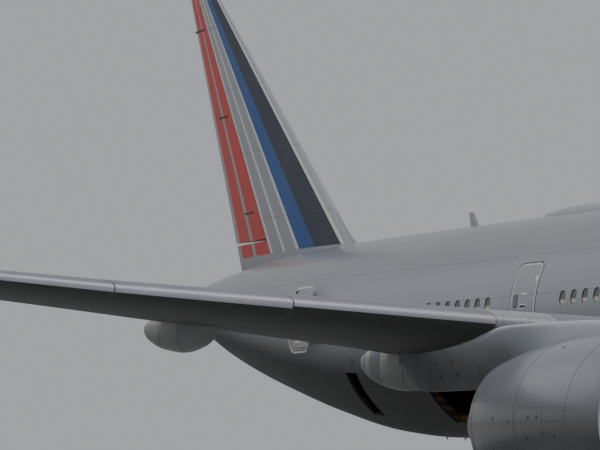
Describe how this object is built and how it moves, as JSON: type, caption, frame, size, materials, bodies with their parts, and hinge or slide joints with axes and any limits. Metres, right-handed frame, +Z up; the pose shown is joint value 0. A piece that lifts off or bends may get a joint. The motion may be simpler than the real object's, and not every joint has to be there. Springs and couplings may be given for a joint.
{
  "type": "twin engine wide body airliner, 1:2 scale model",
  "caption": "Wide body airliner parked on its gear, as a half size model, with turning fans and wheels, steered nose gear, hinged cargo doors and control surfaces.",
  "frame": {"origin": "on the ground under the middle of the aircraft, halfway along its length on the centre line", "axes": "+X to port, +Y aft along the fuselage, +Z up"},
  "size_m": [30.465, 31.865, 9.25],
  "materials": {
    "body_paint": "silver grey gloss paint",
    "wing_paint": "plain grey satin paint",
    "fin_paint": "gloss paint with plain bands of red, white, grey and blue",
    "nacelle_paint": "light grey gloss paint",
    "radome_paint": "satin grey",
    "bare_metal": "polished, slightly dulled",
    "nozzle_metal": "heat tinted",
    "fan_blade": "satin black",
    "gear_paint": "grey satin paint",
    "gear_steel": "polished sliding tubes",
    "tyre_rubber": "matt",
    "window_glass": "dark tinted",
    "interior_dark": "matt",
    "marking_paint": "gloss",
    "lamp_glass": "clear"
  },
  "bodies": {
    "root": {"flap_inboard_left": "wing_paint", "flap_outboard_left": "wing_paint", "slat_inboard_left": "bare_metal", "slat_outboard_left": "bare_metal", "wing_left": "wing_paint", "flap_track_fairing_inboard_left": "body_paint", "flap_track_fairing_middle_left": "body_paint", "flap_track_fairing_outboard_left": "body_paint", "nacelle_left": "nacelle_paint", "engine_core_left": "nozzle_metal", "pylon_left": "body_paint", "main_gear_leg_left": "gear_paint", "main_gear_beam_left": "gear_paint", "main_gear_door_left": "body_paint", "stabiliser_left": "body_paint", "flap_inboard_right": "wing_paint", "flap_outboard_right": "wing_paint", "slat_inboard_right": "bare_metal", "slat_outboard_right": "bare_metal", "wing_right": "wing_paint", "flap_track_fairing_inboard_right": "body_paint", "flap_track_fairing_middle_right": "body_paint", "flap_track_fairing_outboard_right": "body_paint", "nacelle_right": "nacelle_paint", "engine_core_right": "nozzle_metal", "pylon_right": "body_paint", "main_gear_leg_right": "gear_paint", "main_gear_beam_right": "gear_paint", "main_gear_door_right": "body_paint", "stabiliser_right": "body_paint", "wing_body_fairing": "body_paint", "fuselage_nose": "body_paint", "fuselage_centre": "body_paint", "fuselage_aft": "body_paint", "fuselage_tail": "body_paint", "nose_gear_leg": "gear_paint", "passenger_door_aft": "body_paint", "crown_radome": "radome_paint", "fin": "fin_paint"},
    "flaperon_left": {"flaperon_left": "wing_paint"},
    "flaperon_right": {"flaperon_right": "wing_paint"},
    "aileron_left": {"aileron_left": "wing_paint"},
    "aileron_right": {"aileron_right": "wing_paint"},
    "elevator_left": {"elevator_left": "body_paint"},
    "elevator_right": {"elevator_right": "body_paint"},
    "rudder": {"rudder": "fin_paint"},
    "fan_left": {"fan_left": "fan_blade"},
    "main_wheels_front_left": {"main_wheels_front_left": "tyre_rubber"},
    "main_wheels_middle_left": {"main_wheels_middle_left": "tyre_rubber"},
    "main_wheels_rear_left": {"main_wheels_rear_left": "tyre_rubber"},
    "fan_right": {"fan_right": "fan_blade"},
    "main_wheels_front_right": {"main_wheels_front_right": "tyre_rubber"},
    "main_wheels_middle_right": {"main_wheels_middle_right": "tyre_rubber"},
    "main_wheels_rear_right": {"main_wheels_rear_right": "tyre_rubber"},
    "nose_steering": {"nose_gear_fork": "gear_paint"},
    "nose_wheels": {"nose_wheels": "tyre_rubber"},
    "cargo_door_forward": {"cargo_door_forward": "body_paint"},
    "cargo_door_aft": {"cargo_door_aft": "body_paint"},
    "cargo_door_bulk": {"cargo_door_bulk": "body_paint"}
  },
  "joints": [
    {"name": "flaperon_left_hinge", "type": "hinge", "parent": "root", "child": "flaperon_left", "pos_m": [4.92, -0.0925, 2.36869], "axis": [0.9833, 0.1366, 0.1202], "range_deg": [-31, 11]},
    {"name": "flaperon_right_hinge", "type": "hinge", "parent": "root", "child": "flaperon_right", "pos_m": [-4.92, -0.0925, 2.36869], "axis": [0.9833, -0.1366, -0.1202], "range_deg": [-31, 11]},
    {"name": "aileron_left_hinge", "type": "hinge", "parent": "root", "child": "aileron_left", "pos_m": [12.85, 3.4125, 3.29861], "axis": [0.9124, 0.3954, 0.1054], "range_deg": [-19, 33]},
    {"name": "aileron_right_hinge", "type": "hinge", "parent": "root", "child": "aileron_right", "pos_m": [-12.85, 3.4125, 3.29861], "axis": [0.9124, -0.3954, -0.1054], "range_deg": [-19, 33]},
    {"name": "elevator_left_hinge", "type": "hinge", "parent": "root", "child": "elevator_left", "pos_m": [3.11, 14.2825, 3.66064], "axis": [0.8798, 0.4648, 0.0996], "range_deg": [-25, 30]},
    {"name": "elevator_right_hinge", "type": "hinge", "parent": "root", "child": "elevator_right", "pos_m": [-3.11, 14.2825, 3.66064], "axis": [0.8798, -0.4648, -0.0996], "range_deg": [-25, 30]},
    {"name": "rudder_hinge", "type": "hinge", "parent": "root", "child": "rudder", "pos_m": [0, 13.895, 6.86], "axis": [0, 0.5399, 0.8418], "range_deg": [-27, 27]},
    {"name": "fan_left_shaft", "type": "hinge", "parent": "root", "child": "fan_left", "pos_m": [4.805, -4.8925, 1.35], "axis": [0, 1, 0], "continuous": true},
    {"name": "main_wheels_front_left_axle", "type": "hinge", "parent": "root", "child": "main_wheels_front_left", "pos_m": [2.7425, -0.7725, 0.3175], "axis": [1, 0, 0], "continuous": true},
    {"name": "main_wheels_middle_left_axle", "type": "hinge", "parent": "root", "child": "main_wheels_middle_left", "pos_m": [2.7425, -0.0475, 0.3175], "axis": [1, 0, 0], "continuous": true},
    {"name": "main_wheels_rear_left_axle", "type": "hinge", "parent": "root", "child": "main_wheels_rear_left", "pos_m": [2.7425, 0.6775, 0.3175], "axis": [1, 0, 0], "continuous": true},
    {"name": "fan_right_shaft", "type": "hinge", "parent": "root", "child": "fan_right", "pos_m": [-4.805, -4.8925, 1.35], "axis": [0, 1, 0], "continuous": true},
    {"name": "main_wheels_front_right_axle", "type": "hinge", "parent": "root", "child": "main_wheels_front_right", "pos_m": [-2.7425, -0.7725, 0.3175], "axis": [1, 0, 0], "continuous": true},
    {"name": "main_wheels_middle_right_axle", "type": "hinge", "parent": "root", "child": "main_wheels_middle_right", "pos_m": [-2.7425, -0.0475, 0.3175], "axis": [1, 0, 0], "continuous": true},
    {"name": "main_wheels_rear_right_axle", "type": "hinge", "parent": "root", "child": "main_wheels_rear_right", "pos_m": [-2.7425, 0.6775, 0.3175], "axis": [1, 0, 0], "continuous": true},
    {"name": "nose_steering_pivot", "type": "hinge", "parent": "root", "child": "nose_steering", "pos_m": [0, -12.9875, 0.725], "axis": [0, 0, 1], "range_deg": [-70, 70]},
    {"name": "nose_wheels_axle", "type": "hinge", "parent": "nose_steering", "child": "nose_wheels", "pos_m": [0, -12.9875, 0.2675], "axis": [1, 0, 0], "continuous": true},
    {"name": "cargo_door_forward_hinge", "type": "hinge", "parent": "root", "child": "cargo_door_forward", "pos_m": [-1.43713, -10.0325, 2.31936], "axis": [0, 1, 0], "range_deg": [0, 150]},
    {"name": "cargo_door_aft_hinge", "type": "hinge", "parent": "root", "child": "cargo_door_aft", "pos_m": [-1.39313, 4.48, 2.22052], "axis": [0, 1, 0], "range_deg": [-150, 0]},
    {"name": "cargo_door_bulk_hinge", "type": "hinge", "parent": "root", "child": "cargo_door_bulk", "pos_m": [-1.30615, 7.1925, 2.37788], "axis": [0, 1, 0], "range_deg": [0, 62]}
  ]
}
